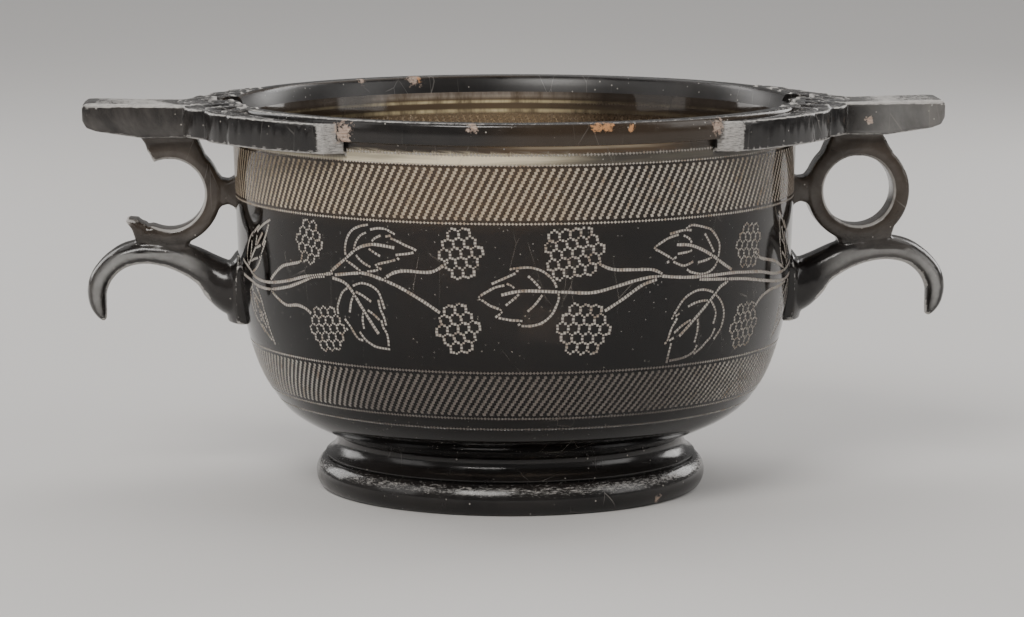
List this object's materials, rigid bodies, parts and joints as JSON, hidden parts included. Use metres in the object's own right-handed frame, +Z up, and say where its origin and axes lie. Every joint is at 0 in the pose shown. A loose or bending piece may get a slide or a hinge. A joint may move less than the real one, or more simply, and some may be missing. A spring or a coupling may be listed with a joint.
{
  "type": "skyphos cup",
  "caption": "Footed drinking cup with a deep round bowl, a collared rim, and flat thumb plates over finger rings and hooked spurs at its sides.",
  "frame": {"origin": "on the table under the middle of the bowl, at the level of the foot's underside", "axes": "+X towards the handle whose finger ring is whole, +Z up along the bowl's axis, +Y away from the viewer"},
  "size_m": [0.2402, 0.1626, 0.1082],
  "materials": {
    "obsidian": "polished"
  },
  "bodies": {
    "root": {"skyphos": "obsidian"}
  },
  "joints": []
}
